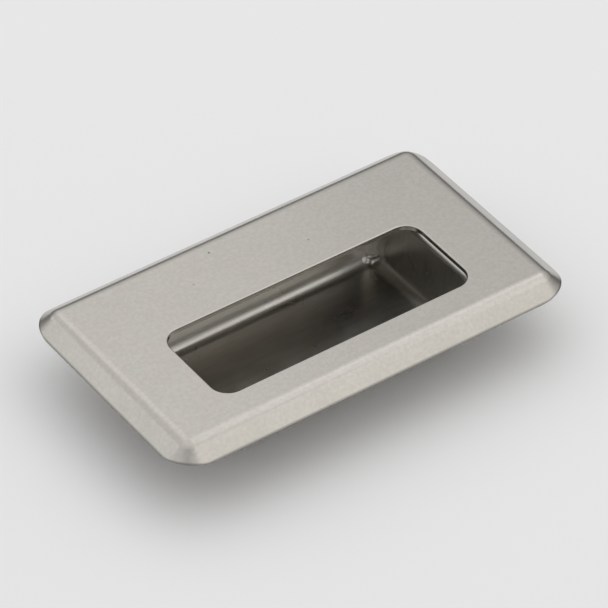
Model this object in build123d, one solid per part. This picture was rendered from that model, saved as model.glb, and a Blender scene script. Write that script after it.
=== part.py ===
from build123d import *
import os
from math import cos, radians, sin, sqrt, tan

# Recessed pull handle in stainless sheet: a dished faceplate with an off-centre opening, a larger drawn cup
# spot-welded behind it, and four weld studs that hold it in a panel. Lengths are millimetres, angles degrees.
# Z = 0 is the panel face that the rim sits on, +Z points out of the panel, and X runs along the handle.
# The cup is centred. The opening stands over its -Y side, which leaves the pull lip over its +Y side.

# Opening, punched through the face
opening_length = 77.0
opening_width = 27.5
opening_corner_radius = 5.0
opening_rollover = 0.4  # rounding that the punch leaves at the front
opening_edge_break = 0.15  # deburred edge at the back

# Faceplate, pressed from one sheet
lip_depth = 14.8  # how far the face reaches over the cup at +Y, for the fingers to pull on
end_margin = 21.5  # from the opening's ends to the rim's outer edge
side_margin = 13.85  # from the cup's long walls to the rim's outer edge
plate_height = 4.7  # front face above the panel
plate_sheet = 1.5
rim_slope = 41.0  # of the rim, down from the face
rim_bend_radius = 4.5  # outside of the bend between face and rim
face_corner_radius = 0.25  # of the flat face, inside the bend
corner_lift = 0.68  # how far the pressed blank's corners stand off the panel
sheared_edge_height = 0.3  # what is left of the sheared edge above the ground seat of the rim
sheared_edge_break = 0.12

# Pull cup, drawn from a thinner sheet. Its end walls and its -Y wall stand in line with the opening
cup_depth = 20.5  # front face to the cup's floor
cup_sheet = 1.0
cup_draft = 5.5  # of the walls
cup_floor_radius = 3.75
cup_corner_excess = 0.42  # by which the upright corners are rounder than the floor's bend, where they meet
flange_width = 5.0
flange_corner_radius = 6.0
flange_bend_radius = 1.5  # on the hidden side, between flange and wall

# Weld studs, with the upset foot that welds to the sheet
stud_diameter = 4.0
stud_length = 12.0
stud_tip_chamfer = 0.6
stud_foot_diameter = 5.5
stud_foot_thickness = 1.0
stud_clearance = 1.75  # foot to the edge of the cup's flange
stud_spacing_y = 30.0

# Levels and plan sizes that follow from the above
plate_back = plate_height - plate_sheet
flange_back = plate_back - cup_sheet
floor_level = plate_height - cup_depth
cup_width = opening_width + lip_depth
opening_centre_y = -lip_depth / 2
plate_length = opening_length + 2 * end_margin
plate_width = cup_width + 2 * side_margin
slope_run = 1 / tan(radians(rim_slope))  # outwards, for each millimetre down
bend_reach = rim_bend_radius * tan(radians(rim_slope / 2))  # of the bend, each side of its sharp corner
rim_corner_radius = face_corner_radius + bend_reach + slope_run * (plate_height - sheared_edge_height)
blank_corner_radius = rim_corner_radius + corner_lift * (slope_run + 1 / slope_run) / (sqrt(2) - 1)
cup_corner_radius = cup_floor_radius + cup_corner_excess + (plate_back - floor_level) * tan(radians(cup_draft))
stud_spacing_x = opening_length + 2 * (flange_width + stud_clearance) + stud_foot_diameter


def level_face(form, level):
    """The face of a form that lies flat at a height."""
    flats = form.faces().filter_by(Plane.XY)
    return flats.sort_by(lambda face: abs(face.center().Z - level))[0]


def tilted_faces(form, rise):
    """The faces of a form whose outward normals have this vertical part."""
    return form.faces().filter_by(lambda face: abs(face.normal_at().Z - rise) < 1e-4)


def under_skin(depth):
    """All that lies under the faceplate's front skin, or under the layer this deep in its sheet."""
    inset = depth / sin(radians(rim_slope)) - slope_run * sheared_edge_height
    outline = RectangleRounded(plate_length - 2 * inset, plate_width - 2 * inset, rim_corner_radius - inset)
    form = extrude(outline, plate_height - depth, taper=90 - rim_slope)
    return fillet(level_face(form, plate_height - depth).edges(), rim_bend_radius - depth)


def pressed_blank():
    """The blank's outline once pressed: its sheared edge stands square to the sloping rim."""
    inset = sheared_edge_height / slope_run
    outline = RectangleRounded(plate_length - 2 * inset, plate_width - 2 * inset, blank_corner_radius)
    return extrude(outline, plate_height, taper=-rim_slope)


def make_faceplate():
    plate = (under_skin(0) - under_skin(plate_sheet)) & pressed_blank()

    slope = tilted_faces(plate, cos(radians(rim_slope)))
    sheared_edge = tilted_faces(plate, -sin(radians(rim_slope)))
    plate = chamfer(slope.edges() & sheared_edge.edges(), sheared_edge_break)

    outline = RectangleRounded(opening_length, opening_width, opening_corner_radius)
    plate -= Pos(0, opening_centre_y, 0) * extrude(outline, plate_height)
    plate = fillet(level_face(plate, plate_height).inner_wires().edges(), opening_rollover)
    return chamfer(level_face(plate, plate_back).inner_wires().edges(), opening_edge_break)


def cup_form(skin):
    """The cup's hollow, or with a skin of sheet round it the cup's outside."""
    grow = skin / cos(radians(cup_draft))
    outline = RectangleRounded(opening_length + 2 * grow, cup_width + 2 * grow, cup_corner_radius + grow)
    depth = plate_back - floor_level + skin
    form = Pos(0, 0, plate_back) * extrude(outline, depth, dir=(0, 0, -1), taper=cup_draft)
    return fillet(level_face(form, floor_level - skin).edges(), cup_floor_radius + skin)


def make_pull_cup():
    outline = RectangleRounded(
        opening_length + 2 * flange_width, cup_width + 2 * flange_width, flange_corner_radius
    )
    cup = cup_form(cup_sheet) + Pos(0, 0, flange_back) * extrude(outline, cup_sheet)
    cup = fillet(level_face(cup, flange_back).inner_wires().edges(), flange_bend_radius)
    cup -= cup_form(0)
    return fillet(level_face(cup, plate_back).inner_wires().edges(), flange_bend_radius + cup_sheet)


def make_stud():
    """A stud that hangs from the origin, foot up."""
    hang = (Align.CENTER, Align.CENTER, Align.MAX)
    foot = Cylinder(stud_foot_diameter / 2, stud_foot_thickness, align=hang)
    shank = Cylinder(stud_diameter / 2, stud_length, align=hang)
    return foot + chamfer(level_face(shank, -stud_length).edges(), stud_tip_chamfer)


os.makedirs("parts", exist_ok=True)
export_step(make_faceplate(), "parts/faceplate.step")
export_step(make_pull_cup(), "parts/pull_cup.step")

stud = make_stud()
for end, x in (("left", -stud_spacing_x / 2), ("right", stud_spacing_x / 2)):
    for side, y in (("front", -stud_spacing_y / 2), ("back", stud_spacing_y / 2)):
        export_step(Pos(x, y, plate_back) * stud, f"parts/weld_stud_{side}_{end}.step")
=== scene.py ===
import math
import bpy
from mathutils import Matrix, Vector


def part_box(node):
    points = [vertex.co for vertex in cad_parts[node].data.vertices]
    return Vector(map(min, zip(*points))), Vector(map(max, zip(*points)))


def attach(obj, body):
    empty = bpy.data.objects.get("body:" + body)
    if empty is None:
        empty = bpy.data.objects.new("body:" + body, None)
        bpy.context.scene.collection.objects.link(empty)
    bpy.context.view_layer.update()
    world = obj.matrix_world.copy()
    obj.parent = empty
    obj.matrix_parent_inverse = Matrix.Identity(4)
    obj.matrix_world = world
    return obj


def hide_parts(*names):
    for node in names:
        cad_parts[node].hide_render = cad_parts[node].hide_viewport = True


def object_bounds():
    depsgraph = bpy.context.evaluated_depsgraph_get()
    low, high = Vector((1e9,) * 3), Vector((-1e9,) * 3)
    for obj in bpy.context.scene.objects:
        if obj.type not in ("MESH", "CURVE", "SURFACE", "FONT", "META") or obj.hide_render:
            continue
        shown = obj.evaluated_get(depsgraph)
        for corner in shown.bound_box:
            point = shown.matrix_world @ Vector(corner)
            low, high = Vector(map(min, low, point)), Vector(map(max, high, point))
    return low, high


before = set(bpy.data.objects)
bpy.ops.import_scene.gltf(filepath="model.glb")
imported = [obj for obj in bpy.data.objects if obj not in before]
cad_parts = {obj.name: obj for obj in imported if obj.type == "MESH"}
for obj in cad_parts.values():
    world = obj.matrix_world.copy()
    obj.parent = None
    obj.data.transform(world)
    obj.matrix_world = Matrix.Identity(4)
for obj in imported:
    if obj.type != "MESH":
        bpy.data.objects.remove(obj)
cadBox = [list(corner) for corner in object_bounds()]
mm = 0.001
hair = 1e-7  # points nearer than this are one; the operators' own limits are too coarse for a thread
print("frame loaded:", ", ".join(sorted(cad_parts)))


# modelling helpers

def pick(piece):
    if bpy.context.object and bpy.context.object.mode != "OBJECT":
        bpy.ops.object.mode_set(mode="OBJECT")
    bpy.ops.object.select_all(action="DESELECT")
    piece.select_set(True)
    bpy.context.view_layer.objects.active = piece


def editAll(piece):
    pick(piece)
    bpy.ops.object.mode_set(mode="EDIT")
    bpy.ops.mesh.select_mode(type="VERT")
    bpy.ops.mesh.select_all(action="SELECT")


def objectMode():
    bpy.ops.object.mode_set(mode="OBJECT")


def applyModifier(piece, kind, **settings):
    pick(piece)
    modifier = piece.modifiers.new(kind.lower(), kind)
    for key, value in settings.items():
        setattr(modifier, key, value)
    bpy.ops.object.modifier_apply(modifier=modifier.name)


def drawProfile(name, points):
    # a line of (radius, height) points in millimetres, drawn from one vertex
    bpy.ops.object.select_all(action="DESELECT")
    bpy.ops.mesh.primitive_plane_add(size=mm, location=(0, 0, 0))
    piece = bpy.context.object
    piece.name = name
    editAll(piece)
    bpy.ops.mesh.merge(type="CENTER")
    bpy.ops.transform.translate(value=(points[0][0] * mm, 0, points[0][1] * mm))
    for before, after in zip(points, points[1:]):
        step = ((after[0] - before[0]) * mm, 0, (after[1] - before[1]) * mm)
        bpy.ops.mesh.extrude_region_move(TRANSFORM_OT_translate={"value": step})
    objectMode()
    return piece


def turnProfile(piece, sides):
    # a closed turned form: the profile starts and ends on the Z axis
    editAll(piece)
    bpy.ops.mesh.spin(steps=sides, angle=math.tau, center=(0, 0, 0), axis=(0, 0, 1))
    bpy.ops.mesh.select_all(action="SELECT")
    bpy.ops.mesh.remove_doubles(threshold=hair)
    bpy.ops.mesh.normals_make_consistent(inside=False)
    objectMode()


def smoothByAngle(piece, degrees):
    pick(piece)
    bpy.ops.object.shade_smooth_by_angle(angle=math.radians(degrees))


def copyAt(piece, name, place, turn):
    bpy.ops.object.select_all(action="DESELECT")
    twin = bpy.data.objects.new(name, piece.data.copy())
    bpy.context.collection.objects.link(twin)
    twin.location = place
    twin.rotation_euler = (0, 0, math.radians(turn))
    pick(twin)
    bpy.ops.object.transform_apply(location=True, rotation=True, scale=True)
    return twin


# weld studs with a rolled thread

def makeStud():
    stud = {"pitch": 0.7, "crest": 2.0, "root": 1.58, "length": 12.0, "tipRadius": 1.4, "tipChamfer": 0.6,
            "runOut": 2.6, "foot": 2.75, "footThick": 1.0, "flash": 0.13, "sides": 40}
    pitch, crest, root = stud["pitch"], stud["crest"], stud["root"]
    flank = (pitch - pitch / 4 - pitch / 8) / 2
    turns = math.ceil((stud["length"] - stud["runOut"]) / pitch) + 3
    low = -stud["length"] - 1.5 * pitch
    thread = drawProfile("thread", [(root, low), (root, low + pitch / 4), (crest, low + pitch / 4 + flank),
                                    (crest, low + pitch / 4 + flank + pitch / 8), (root, low + pitch)])
    applyModifier(thread, "SCREW", axis="Z", angle=math.tau, screw_offset=pitch * mm, iterations=turns,
                  steps=stud["sides"], render_steps=stud["sides"])
    for height, normal in ((-stud["length"], (0, 0, -1)), (-stud["runOut"], (0, 0, 1))):
        editAll(thread)
        bpy.ops.mesh.remove_doubles(threshold=hair)
        bpy.ops.mesh.bisect(plane_co=(0, 0, height * mm), plane_no=normal, use_fill=True, clear_outer=True,
                            threshold=hair)
    bpy.ops.mesh.select_all(action="SELECT")
    bpy.ops.mesh.normals_make_consistent(inside=False)
    objectMode()
    tip = drawProfile("tipBlank", [(0, -stud["length"]), (stud["tipRadius"], -stud["length"]),
                                   (crest + 0.02, -stud["length"] + stud["tipChamfer"]),
                                   (crest + 0.02, 0), (0, 0)])
    turnProfile(tip, stud["sides"])
    applyModifier(thread, "BOOLEAN", object=tip, operation="INTERSECT", solver="EXACT")
    bpy.data.objects.remove(tip)
    foot, thick, flash = stud["foot"], stud["footThick"], stud["flash"]
    body = drawProfile("stud", [(0, 0), (foot + flash, 0), (foot + flash, -0.06), (foot + 0.05, -0.2),
                                (foot, -0.34), (foot, -thick + 0.18), (foot - 0.18, -thick),
                                (root + 0.5, -thick), (root + 0.22, -thick - 0.12), (root + 0.1, -thick - 0.35),
                                (root + 0.1, -stud["runOut"] + 0.1), (root - 0.1, -stud["runOut"] - 0.1),
                                (0, -stud["runOut"] - 0.1)])
    turnProfile(body, stud["sides"])
    applyModifier(body, "BOOLEAN", object=thread, operation="UNION", solver="EXACT")
    bpy.data.objects.remove(thread)
    editAll(body)
    bpy.ops.mesh.dissolve_degenerate(threshold=hair)
    objectMode()
    smoothByAngle(body, 28)
    return body


def placeStuds(finish):
    model = makeStud()
    for number, name in enumerate(sorted(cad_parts)):
        if name.startswith("weld_stud"):
            low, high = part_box(name)
            place = ((low.x + high.x) / 2, (low.y + high.y) / 2, high.z)
            turn = 67 * number  # so that no two threads start alike
            piece = copyAt(model, name.replace("weld_stud", "threadedStud"), place, turn)
            piece.data.materials.clear()
            piece.data.materials.append(finish)
            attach(piece, "root")
            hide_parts(name)
    bpy.data.objects.remove(model)
    print("threaded studs placed")


# drawn cup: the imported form, with the puckers that drawing leaves in its bottom corners

def makeCup(finish):
    cup = {"cornerIn": (8.9, 8.3), "cornerUp": 3.1, "reach": 3.8, "cuts": 2, "pucker": 0.55, "grain": 1.15}
    low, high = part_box("pull_cup")
    bpy.ops.object.select_all(action="DESELECT")
    piece = bpy.data.objects.new("drawnCup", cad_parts["pull_cup"].data.copy())
    bpy.context.collection.objects.link(piece)
    piece.data.materials.clear()
    piece.data.materials.append(finish)
    pick(piece)
    bpy.ops.mesh.customdata_custom_splitnormals_clear()
    editAll(piece)
    bpy.ops.mesh.remove_doubles(threshold=hair)
    objectMode()
    insetX, insetY = cup["cornerIn"]
    corners = [Vector((x, y, low.z + cup["cornerUp"] * mm))
               for x in (low.x + insetX * mm, high.x - insetX * mm)
               for y in (low.y + insetY * mm, high.y - insetY * mm)]
    reach = cup["reach"] * mm

    def nearness(point):
        return max(0.0, 1 - min((point - corner).length for corner in corners) / reach)

    for face in piece.data.polygons:
        face.select = nearness(face.center) > 0
    bpy.ops.object.mode_set(mode="EDIT")
    bpy.ops.mesh.select_mode(type="FACE")
    bpy.ops.mesh.subdivide(number_cuts=cup["cuts"])
    objectMode()
    group = piece.vertex_groups.new(name="pucker")
    for vertex in piece.data.vertices:
        share = nearness(vertex.co)
        if share > 0:
            group.add([vertex.index], share * share * (3 - 2 * share), "REPLACE")
    ripple = bpy.data.textures.new("ripple", "CLOUDS")
    ripple.noise_scale = cup["grain"] * mm
    ripple.noise_depth = 0
    applyModifier(piece, "DISPLACE", texture=ripple, texture_coords="LOCAL", strength=cup["pucker"] * mm,
                  mid_level=0.5, vertex_group="pucker")
    smoothByAngle(piece, 30)
    applyModifier(piece, "WEIGHTED_NORMAL", keep_sharp=True)
    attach(piece, "root")
    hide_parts("pull_cup")
    print("cup puckered:", len(piece.data.polygons), "faces")


# spot welds, as the electrode leaves them on the back of the flange

def placeSpotWelds(finish):
    weld = {"radius": 1.2, "ridge": 0.95, "proud": 0.07, "dish": 0.02, "sides": 28, "inset": 1.35,
            "bothSheets": 2.5, "alongX": (-31, -11, 11, 31), "alongY": (-8, 8)}
    cupLow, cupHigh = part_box("pull_cup")
    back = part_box("faceplate")[1].z - weld["bothSheets"] * mm
    model = drawProfile("spotWeld", [(0, 0.2), (weld["radius"], 0.2), (weld["radius"], 0.01),
                                     (weld["ridge"] + 0.12, -weld["proud"]),
                                     (weld["ridge"] - 0.1, -weld["proud"]),
                                     (weld["ridge"] * 0.7, -weld["dish"]), (0, -weld["dish"])])
    turnProfile(model, weld["sides"])
    smoothByAngle(model, 40)
    inset = weld["inset"] * mm
    places = [(x * mm, y, back) for x in weld["alongX"] for y in (cupLow.y + inset, cupHigh.y - inset)]
    places += [(x, y * mm, back) for y in weld["alongY"] for x in (cupLow.x + inset, cupHigh.x - inset)]
    copies = [copyAt(model, "spotWelds", place, 0) for place in places]
    bpy.data.objects.remove(model)
    pick(copies[0])
    for twin in copies:
        twin.select_set(True)
    bpy.ops.object.join()
    piece = bpy.context.object
    piece.name = "spotWelds"
    piece.data.materials.clear()
    piece.data.materials.append(finish)
    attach(piece, "root")
    print("spot welds placed:", len(places))


# node groups that the finishes share

def newGroup(name, inputs, outputs):
    group = bpy.data.node_groups.new(name, "ShaderNodeTree")
    for label, kind, value in inputs:
        socket = group.interface.new_socket(name=label, in_out="INPUT", socket_type=kind)
        if value is not None:
            socket.default_value = value
    for label, kind in outputs:
        group.interface.new_socket(name=label, in_out="OUTPUT", socket_type=kind)
    return group, group.nodes.new("NodeGroupInput"), group.nodes.new("NodeGroupOutput")


def addNode(tree, kind, **settings):
    node = tree.nodes.new(kind)
    for key, value in settings.items():
        setattr(node, key, value)
    return node


def wire(tree, source, target):
    tree.links.new(source, target)


def mathNode(tree, operation, first, second=None, third=None):
    node = addNode(tree, "ShaderNodeMath", operation=operation)
    for socket, value in zip(node.inputs, (first, second, third)):
        if isinstance(value, (int, float)):
            socket.default_value = value
        elif value is not None:
            wire(tree, value, socket)
    return node.outputs[0]


def makeGrainGroup():
    # long fine lines along one axis, and softer, broader streaks of tone along the same axis
    streakRatio = 0.12  # how much slower a streak changes along the axis than across it
    group, entry, end = newGroup("sheetGrain", [("Vector", "NodeSocketVector", None),
                                                ("Lines", "NodeSocketFloat", 5000.0),
                                                ("Along", "NodeSocketFloat", 120.0),
                                                ("Streaks", "NodeSocketFloat", 180.0)],
                                 [("Grain", "NodeSocketFloat"), ("Streak", "NodeSocketFloat")])
    parts = addNode(group, "ShaderNodeSeparateXYZ")
    wire(group, entry.outputs["Vector"], parts.inputs[0])
    for label, across, along, detail in (("Grain", "Lines", "Along", 3.0), ("Streak", "Streaks", None, 2.0)):
        stretch = addNode(group, "ShaderNodeCombineXYZ")
        if along:
            lengthwise = entry.outputs[along]
        else:
            lengthwise = mathNode(group, "MULTIPLY", entry.outputs[across], streakRatio)
        wire(group, mathNode(group, "MULTIPLY", parts.outputs["X"], lengthwise), stretch.inputs["X"])
        wire(group, mathNode(group, "MULTIPLY", parts.outputs["Y"], entry.outputs[across]), stretch.inputs["Y"])
        wire(group, mathNode(group, "MULTIPLY", parts.outputs["Z"], lengthwise), stretch.inputs["Z"])
        noise = addNode(group, "ShaderNodeTexNoise")
        noise.inputs["Scale"].default_value = 1.0
        noise.inputs["Detail"].default_value = detail
        wire(group, stretch.outputs[0], noise.inputs["Vector"])
        wire(group, noise.outputs["Fac"], end.inputs[label])
    return group


def makeBlotchGroup():
    # soft handling marks and uneven pickling
    group, entry, end = newGroup("softBlotch", [("Vector", "NodeSocketVector", None),
                                                ("Scale", "NodeSocketFloat", 90.0),
                                                ("Low", "NodeSocketFloat", 0.0),
                                                ("High", "NodeSocketFloat", 1.0)],
                                 [("Value", "NodeSocketFloat")])
    noise = addNode(group, "ShaderNodeTexNoise")
    noise.inputs["Detail"].default_value = 4.0
    noise.inputs["Distortion"].default_value = 0.4
    wire(group, entry.outputs["Vector"], noise.inputs["Vector"])
    wire(group, entry.outputs["Scale"], noise.inputs["Scale"])
    spread = addNode(group, "ShaderNodeMapRange", interpolation_type="SMOOTHSTEP")
    spread.inputs["From Min"].default_value = 0.3
    spread.inputs["From Max"].default_value = 0.7
    wire(group, noise.outputs["Fac"], spread.inputs["Value"])
    wire(group, entry.outputs["Low"], spread.inputs["To Min"])
    wire(group, entry.outputs["High"], spread.inputs["To Max"])
    wire(group, spread.outputs["Result"], end.inputs["Value"])
    return group


def makeSpotGroup():
    # a round mask about a point in plan, and the distance from it
    group, entry, end = newGroup("roundMark", [("Vector", "NodeSocketVector", None),
                                               ("Place X", "NodeSocketFloat", 0.0),
                                               ("Place Y", "NodeSocketFloat", 0.0),
                                               ("Inner", "NodeSocketFloat", 0.0002),
                                               ("Outer", "NodeSocketFloat", 0.0004)],
                                 [("Mask", "NodeSocketFloat"), ("Distance", "NodeSocketFloat")])
    parts = addNode(group, "ShaderNodeSeparateXYZ")
    wire(group, entry.outputs["Vector"], parts.inputs[0])
    acrossX = mathNode(group, "SUBTRACT", parts.outputs["X"], entry.outputs["Place X"])
    acrossY = mathNode(group, "SUBTRACT", parts.outputs["Y"], entry.outputs["Place Y"])
    square = mathNode(group, "ADD", mathNode(group, "MULTIPLY", acrossX, acrossX),
                      mathNode(group, "MULTIPLY", acrossY, acrossY))
    distance = mathNode(group, "SQRT", square)
    fade = addNode(group, "ShaderNodeMapRange", interpolation_type="SMOOTHSTEP")
    fade.inputs["To Min"].default_value = 1.0
    fade.inputs["To Max"].default_value = 0.0
    wire(group, distance, fade.inputs["Value"])
    wire(group, entry.outputs["Inner"], fade.inputs["From Min"])
    wire(group, entry.outputs["Outer"], fade.inputs["From Max"])
    wire(group, fade.outputs["Result"], end.inputs["Mask"])
    wire(group, distance, end.inputs["Distance"])
    return group


def makeOutlineGroup():
    # how far a point lies inside a rounded rectangle in plan, negative outside it
    group, entry, end = newGroup("outlineDistance", [("Vector", "NodeSocketVector", None),
                                                     ("Half X", "NodeSocketFloat", 0.06),
                                                     ("Half Y", "NodeSocketFloat", 0.035),
                                                     ("Radius", "NodeSocketFloat", 0.01)],
                                 [("Distance", "NodeSocketFloat")])
    parts = addNode(group, "ShaderNodeSeparateXYZ")
    wire(group, entry.outputs["Vector"], parts.inputs[0])
    past = []
    for axis, half in (("X", "Half X"), ("Y", "Half Y")):
        straight = mathNode(group, "SUBTRACT", entry.outputs[half], entry.outputs["Radius"])
        past.append(mathNode(group, "SUBTRACT", mathNode(group, "ABSOLUTE", parts.outputs[axis]), straight))
    squares = [mathNode(group, "POWER", mathNode(group, "MAXIMUM", side, 0.0), 2.0) for side in past]
    corner = mathNode(group, "SQRT", mathNode(group, "ADD", *squares))
    inner = mathNode(group, "MINIMUM", mathNode(group, "MAXIMUM", *past), 0.0)
    outside = mathNode(group, "SUBTRACT", mathNode(group, "ADD", corner, inner), entry.outputs["Radius"])
    wire(group, mathNode(group, "MULTIPLY", outside, -1.0), end.inputs["Distance"])
    return group


grainGroup, blotchGroup, markGroup = makeGrainGroup(), makeBlotchGroup(), makeSpotGroup()
outlineGroup = makeOutlineGroup()
print("node groups made")


# finishes

def startFinish(name):
    material = bpy.data.materials.new(name)
    material.use_nodes = True
    tree = material.node_tree
    shader = tree.nodes["Principled BSDF"]
    shader.inputs["Metallic"].default_value = 1.0
    place = addNode(tree, "ShaderNodeTexCoord").outputs["Object"]
    return material, tree, shader, place


def useGroup(tree, group, vector, **values):
    node = addNode(tree, "ShaderNodeGroup")
    node.node_tree = group
    wire(tree, vector, node.inputs["Vector"])
    for label, value in values.items():
        node.inputs[label.replace("_", " ")].default_value = value
    return node


def blend(tree, mode, share, first, second):
    node = addNode(tree, "ShaderNodeMix", data_type="RGBA", blend_type=mode)
    for socket, value in ((node.inputs[0], share), (node.inputs[6], first), (node.inputs[7], second)):
        if isinstance(value, (int, float)):
            socket.default_value = value
        elif isinstance(value, tuple):
            socket.default_value = (*value, 1.0)
        else:
            wire(tree, value, socket)
    return node.outputs[2]


def spread(tree, value, low, high, fromLow=0.0, fromHigh=1.0):
    node = addNode(tree, "ShaderNodeMapRange")
    for label, number in (("From Min", fromLow), ("From Max", fromHigh), ("To Min", low), ("To Max", high)):
        node.inputs[label].default_value = number
    wire(tree, value, node.inputs["Value"])
    return node.outputs["Result"]


def makeSatinFace():
    face = {"colour": (0.500, 0.474, 0.435), "dark": (0.476, 0.453, 0.417), "cool": (0.486, 0.470, 0.439),
            "fleck": (0.415, 0.395, 0.365), "roughLow": 0.2, "roughHigh": 0.26, "grainDepth": 0.006,
            "edgeBandDark": (0.2, 0.19, 0.175), "edgeBandWidth": (0.12, 0.5), "cornerRadius": 8.9,
            "pitDark": (0.13, 0.12, 0.11),
            "pits": ((-10.5, 25.7, 0.38), (13.0, 15.4, 0.26), (-20.5, 17.8, 0.24))}
    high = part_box("faceplate")[1]
    material, tree, shader, place = startFinish("satinFace")
    grain = useGroup(tree, grainGroup, place, Lines=5000.0, Along=160.0, Streaks=700.0)
    blotch = useGroup(tree, blotchGroup, place, Scale=70.0, Low=0.0, High=1.0)
    streak = spread(tree, grain.outputs["Streak"], 0.0, 1.0, 0.35, 0.65)
    colour = blend(tree, "MIX", streak, face["dark"], face["colour"])
    colour = blend(tree, "MIX", spread(tree, blotch.outputs[0], 0.25, 0.6), colour, face["colour"])
    mottle = useGroup(tree, blotchGroup, place, Scale=330.0, Low=0.0, High=0.7)
    colour = blend(tree, "MIX", mottle.outputs[0], colour, face["cool"])
    fleck = useGroup(tree, blotchGroup, place, Scale=1000.0, Low=0.0, High=0.42)  # grains of the pickled skin
    colour = blend(tree, "MIX", fleck.outputs[0], colour, face["fleck"])
    # darker in a thin band just inside the plate's outer outline in plan
    outline = useGroup(tree, outlineGroup, place, Half_X=high.x, Half_Y=high.y,
                       Radius=face["cornerRadius"] * mm)
    shear = spread(tree, outline.outputs["Distance"], 0.85, 0.0, *(width * mm for width in face["edgeBandWidth"]))
    colour = blend(tree, "MIX", shear, colour, face["edgeBandDark"])
    for x, y, radius in face["pits"]:
        pit = useGroup(tree, markGroup, place, Place_X=x * mm, Place_Y=y * mm, Inner=radius * 0.4 * mm,
                       Outer=radius * mm)
        colour = blend(tree, "MIX", pit.outputs["Mask"], colour, face["pitDark"])
    wire(tree, colour, shader.inputs["Base Color"])
    wire(tree, spread(tree, blotch.outputs[0], face["roughLow"], face["roughHigh"]), shader.inputs["Roughness"])
    bump = addNode(tree, "ShaderNodeBump")
    bump.inputs["Strength"].default_value = 0.5
    bump.inputs["Distance"].default_value = face["grainDepth"] * mm
    wire(tree, grain.outputs["Grain"], bump.inputs["Height"])
    wire(tree, bump.outputs["Normal"], shader.inputs["Normal"])
    return material


def makeDrawnSteel():
    cup = {"colour": (0.575, 0.558, 0.522), "dark": (0.545, 0.528, 0.494), "line": (0.47, 0.455, 0.42),
           "roughLow": 0.27, "roughHigh": 0.32, "peelDepth": 0.004}
    material, tree, shader, place = startFinish("drawnSteel")
    blotch = useGroup(tree, blotchGroup, place, Scale=110.0, Low=0.0, High=1.0)
    peel = useGroup(tree, blotchGroup, place, Scale=1800.0, Low=0.0, High=1.0)
    colour = blend(tree, "MIX", blotch.outputs[0], cup["dark"], cup["colour"])
    lines = useGroup(tree, grainGroup, place, Lines=3000.0, Along=150.0, Streaks=900.0)
    drawn = spread(tree, lines.outputs["Streak"], 0.0, 0.5, 0.4, 0.7)
    colour = blend(tree, "MIX", drawn, colour, cup["line"])
    wire(tree, colour, shader.inputs["Base Color"])
    wire(tree, spread(tree, blotch.outputs[0], cup["roughLow"], cup["roughHigh"]), shader.inputs["Roughness"])
    bump = addNode(tree, "ShaderNodeBump")
    bump.inputs["Strength"].default_value = 0.4
    bump.inputs["Distance"].default_value = cup["peelDepth"] * mm
    wire(tree, peel.outputs[0], bump.inputs["Height"])
    wire(tree, bump.outputs["Normal"], shader.inputs["Normal"])
    return material


def makeStudSteel():
    stud = {"colour": (0.52, 0.505, 0.48), "dark": (0.4, 0.385, 0.36), "roughLow": 0.2, "roughHigh": 0.34}
    material, tree, shader, place = startFinish("studSteel")
    blotch = useGroup(tree, blotchGroup, place, Scale=500.0, Low=0.0, High=1.0)
    colour = blend(tree, "MIX", blotch.outputs[0], stud["dark"], stud["colour"])
    wire(tree, colour, shader.inputs["Base Color"])
    wire(tree, spread(tree, blotch.outputs[0], stud["roughLow"], stud["roughHigh"]), shader.inputs["Roughness"])
    return material


# camera, floor and light

def addCamera():
    view = {"turn": -35.25, "rise": 41.25, "away": 1209.7, "lens": 285.37, "aside": 0.628, "lift": 0.199,
            "above": 0.3}
    turn, rise = math.radians(view["turn"]), math.radians(view["rise"])
    back = Vector((math.sin(turn) * math.cos(rise), -math.cos(turn) * math.cos(rise), math.sin(rise)))
    right = Vector((math.cos(turn), math.sin(turn), 0))
    place = back * view["away"] + right * view["aside"] + back.cross(right) * view["lift"]
    place.z += view["above"]
    bpy.ops.object.camera_add(location=place * mm, rotation=(math.pi / 2 - rise, 0, turn))
    camera = bpy.context.object
    camera.name = "viewCamera"
    camera.data.lens = view["lens"]
    camera.data.clip_start = 0.05
    bpy.context.scene.camera = camera


def addFloor(level):
    # pale round the handle, falling off to grey beyond it as painted shade that the metal reflects (distances
    # in metres)
    paper = {"size": 3, "near": 0.9, "far": 0.3, "pale": 0.17, "grey": 0.4}
    bpy.ops.object.select_all(action="DESELECT")
    bpy.ops.mesh.primitive_plane_add(size=paper["size"], location=(0, 0, level))
    floor = bpy.context.object
    floor.name = "paleFloor"
    material = bpy.data.materials.new("palePaper")
    material.use_nodes = True
    tree = material.node_tree
    shader = tree.nodes["Principled BSDF"]
    distance = addNode(tree, "ShaderNodeVectorMath", operation="LENGTH")
    wire(tree, addNode(tree, "ShaderNodeTexCoord").outputs["Object"], distance.inputs[0])
    # painted shade: the floor's colour grows darker with distance from the handle
    fade = spread(tree, distance.outputs["Value"], 0.0, 1.0, paper["pale"], paper["grey"])
    colour = blend(tree, "MIX", fade, (paper["near"],) * 3, (paper["far"],) * 3)
    wire(tree, colour, shader.inputs["Base Color"])
    shader.inputs["Roughness"].default_value = 0.9
    shader.inputs["Specular IOR Level"].default_value = 0.0
    floor.data.materials.append(material)


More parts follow.
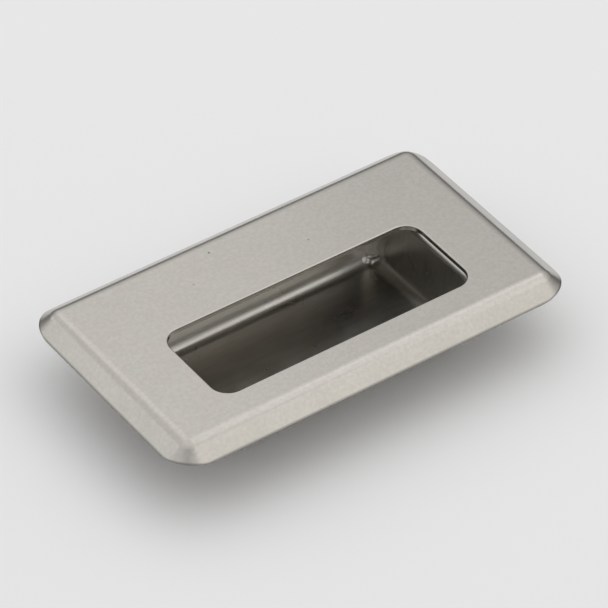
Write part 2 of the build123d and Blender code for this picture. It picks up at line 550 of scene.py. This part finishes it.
def lightTent():
    # a white tent, bright overhead and dimmer towards the floor, open where the camera looks in;
    # levels are (height, brightness)
    tent = {"strength": 1.15, "top": 1.3,
            "levels": ((0.0, 0.12), (0.13, 0.26), (0.37, 0.7), (0.6, 0.98), (0.8, 1.12), (1.0, 1.24)),
            "gap": (-0.588, -0.616, 0.523), "gapSharp": 10.0, "gapDepth": 0.7}
    world = bpy.data.worlds.new("lightTent")
    bpy.context.scene.world = world
    world.use_nodes = True
    tree = world.node_tree
    direction = addNode(tree, "ShaderNodeTexCoord").outputs["Generated"]
    parts = addNode(tree, "ShaderNodeSeparateXYZ")
    wire(tree, direction, parts.inputs[0])
    ramp = addNode(tree, "ShaderNodeValToRGB")
    ramp.color_ramp.interpolation = "B_SPLINE"
    while len(ramp.color_ramp.elements) < len(tent["levels"]):
        ramp.color_ramp.elements.new(0.5)
    for stop, (height, level) in zip(ramp.color_ramp.elements, tent["levels"]):
        stop.position = height
        stop.color = (level / tent["top"],) * 3 + (1,)
    wire(tree, parts.outputs["Z"], ramp.inputs[0])
    dot = addNode(tree, "ShaderNodeVectorMath", operation="DOT_PRODUCT")
    dot.inputs[1].default_value = Vector(tent["gap"]).normalized()
    wire(tree, direction, dot.inputs[0])
    near = mathNode(tree, "MULTIPLY", mathNode(tree, "SUBTRACT", dot.outputs["Value"], 1.0), tent["gapSharp"])
    hole = mathNode(tree, "MULTIPLY", mathNode(tree, "EXPONENT", near), tent["gapDepth"])
    share = mathNode(tree, "MAXIMUM", mathNode(tree, "SUBTRACT", 1.0, hole), 0.0)
    shaped = mathNode(tree, "MULTIPLY", share, ramp.outputs["Color"])
    level = mathNode(tree, "MULTIPLY", shaped, tent["strength"])
    sky = tree.nodes["Background"]
    sky.inputs["Color"].default_value = (1, 1, 1, 1)
    wire(tree, level, sky.inputs["Strength"])


def addLamps():
    # soft boxes outside the tent: turn and rise of each as seen from the object, distance, size, strength
    boxes = {"leftBox": (138, 28, 0.6, (0.5, 0.13), 0.47, (0.98, 1.0, 1.02)),
             "backBox": (76, 38, 0.5, (0.3, 0.3), 0.18, (1.0, 1.0, 1.0)),
             "overheadBox": (55, 58, 0.6, (0.7, 0.16), 0.2, (1.0, 1.0, 1.0)),
             "ridgeBox": (0, 64, 0.7, (0.5, 0.3), 0.27, (1.0, 1.0, 1.0)),
             "frontBox": (-53, 44, 0.6, (0.5, 0.22), 0.37, (1.0, 0.985, 0.9))}
    for name, (turn, rise, away, (width, height), strength, colour) in boxes.items():
        turn, rise = math.radians(turn), math.radians(rise)
        towards = Vector((math.cos(turn) * math.cos(rise), math.sin(turn) * math.cos(rise), math.sin(rise)))
        bpy.ops.object.light_add(type="AREA", location=towards * away,
                                 rotation=towards.to_track_quat("Z", "Y").to_euler())
        box = bpy.context.object
        box.name = name
        box.data.shape = "RECTANGLE"
        box.data.size, box.data.size_y = width, height
        box.data.energy = math.pi * width * height * strength
        box.data.color = colour


addCamera()
addFloor(cadBox[0][2])
lightTent()
addLamps()
print("camera, floor and light set")

satinFace, drawnSteel, studSteel = makeSatinFace(), makeDrawnSteel(), makeStudSteel()
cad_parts["faceplate"].material_slots[0].material = satinFace
makeCup(drawnSteel)
placeSpotWelds(drawnSteel)
placeStuds(studSteel)
print("finishes made")

bpy.context.scene.view_settings.view_transform = "Standard"
